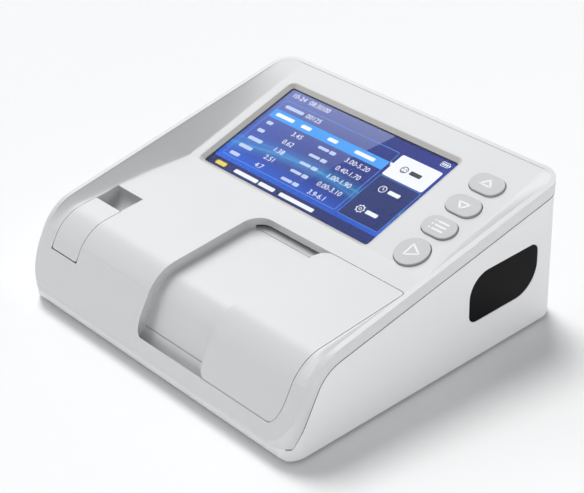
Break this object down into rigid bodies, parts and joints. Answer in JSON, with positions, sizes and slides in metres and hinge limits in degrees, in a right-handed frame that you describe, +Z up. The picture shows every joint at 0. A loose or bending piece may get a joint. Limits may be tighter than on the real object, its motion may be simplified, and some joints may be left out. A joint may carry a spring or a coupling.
{
  "type": "benchtop chemistry analyzer",
  "caption": "Wedge-shaped benchtop analyzer with a colour display, keys, a sliding chamber door, a chip-port flap and a side window.",
  "frame": {"origin": "centre of the case's plan rectangle, on the surface that the feet stand on", "axes": "+X to the user's right along the width, +Y from the user towards the back, +Z up"},
  "size_m": [0.16, 0.146, 0.0624],
  "materials": {
    "white_shell": "fine satin",
    "satin_cover": "satin silver-white paint",
    "steel": "plated",
    "ivory_nylon": "moulded",
    "motor_can": "drawn can",
    "dark_tray": "matte",
    "heater_alloy": "anodised",
    "black_plastic": "moulded",
    "circuit_green": "solder mask",
    "frame_grey": "satin warm grey",
    "display_blue": "glossy display",
    "ribbon_amber": "polyimide",
    "key_grey": "satin",
    "battery_wrap": "shrink wrap",
    "window_black": "high gloss",
    "foot_rubber": "matte"
  },
  "bodies": {
    "case": {"base_housing": "white_shell", "top_cover": "satin_cover", "chamber_deck": "satin_cover", "drive_motor": "motor_can", "motor_bracket": "steel", "test_tray": "dark_tray", "heater_plate": "heater_alloy", "optics_block": "black_plastic", "optics_board": "circuit_green", "flap_hinge_pin": "steel", "chip_socket": "black_plastic", "display_frame": "frame_grey", "display_glass": "display_blue", "lcd_panel": "steel", "display_ribbon": "ribbon_amber", "key_board": "circuit_green", "main_board": "circuit_green", "battery_pack": "battery_wrap", "battery_strap": "steel", "speaker": "black_plastic", "side_window": "window_black", "scanner_module": "dark_tray", "power_jack": "black_plastic", "data_port": "steel", "power_switch_body": "black_plastic", "rubber_feet": "foot_rubber", "case_screws": "steel", "board_screws": "steel", "panel_screws": "steel"},
    "door": {"chamber_door": "satin_cover", "door_runner": "steel", "door_rack": "ivory_nylon"},
    "pinion": {"drive_pinion": "ivory_nylon", "motor_shaft": "steel"},
    "flap": {"port_flap": "satin_cover"},
    "up": {"key_up": "key_grey"},
    "down": {"key_down": "key_grey"},
    "menu": {"key_menu": "key_grey"},
    "start": {"key_start": "key_grey"},
    "rocker": {"power_rocker": "black_plastic"}
  },
  "joints": [
    {"name": "door_slide", "type": "slide", "parent": "case", "child": "door", "axis": [-1, 0, 0], "range_m": [0, 0.036]},
    {"name": "pinion_spin", "type": "hinge", "parent": "case", "child": "pinion", "pos_m": [0.0315, -0.002, 0.0286], "axis": [0, 1, 0], "range_deg": [-370, 0]},
    {"name": "flap_hinge", "type": "hinge", "parent": "case", "child": "flap", "pos_m": [-0.0628, -0.06322, 0.02387], "axis": [1, 0, 0], "range_deg": [0, 70]},
    {"name": "up_press", "type": "slide", "parent": "case", "child": "up", "axis": [0, 0.2938, -0.9559], "range_m": [0, 0.0008], "stiffness_N_per_m": 600, "springref_m": -0.0005},
    {"name": "down_press", "type": "slide", "parent": "case", "child": "down", "axis": [0, 0.2938, -0.9559], "range_m": [0, 0.0008], "stiffness_N_per_m": 600, "springref_m": -0.0005},
    {"name": "menu_press", "type": "slide", "parent": "case", "child": "menu", "axis": [0, 0.2938, -0.9559], "range_m": [0, 0.0008], "stiffness_N_per_m": 600, "springref_m": -0.0005},
    {"name": "start_press", "type": "slide", "parent": "case", "child": "start", "axis": [0, 0.2938, -0.9559], "range_m": [0, 0.0008], "stiffness_N_per_m": 600, "springref_m": -0.0005},
    {"name": "rocker_tilt", "type": "hinge", "parent": "case", "child": "rocker", "pos_m": [0.052, 0.0684, 0.0272], "axis": [0, 0, 1], "range_deg": [0, 18]}
  ],
  "couplings": [
    {"joint": "pinion_spin", "follows": "door_slide", "rad_per_m": -178.57}
  ]
}
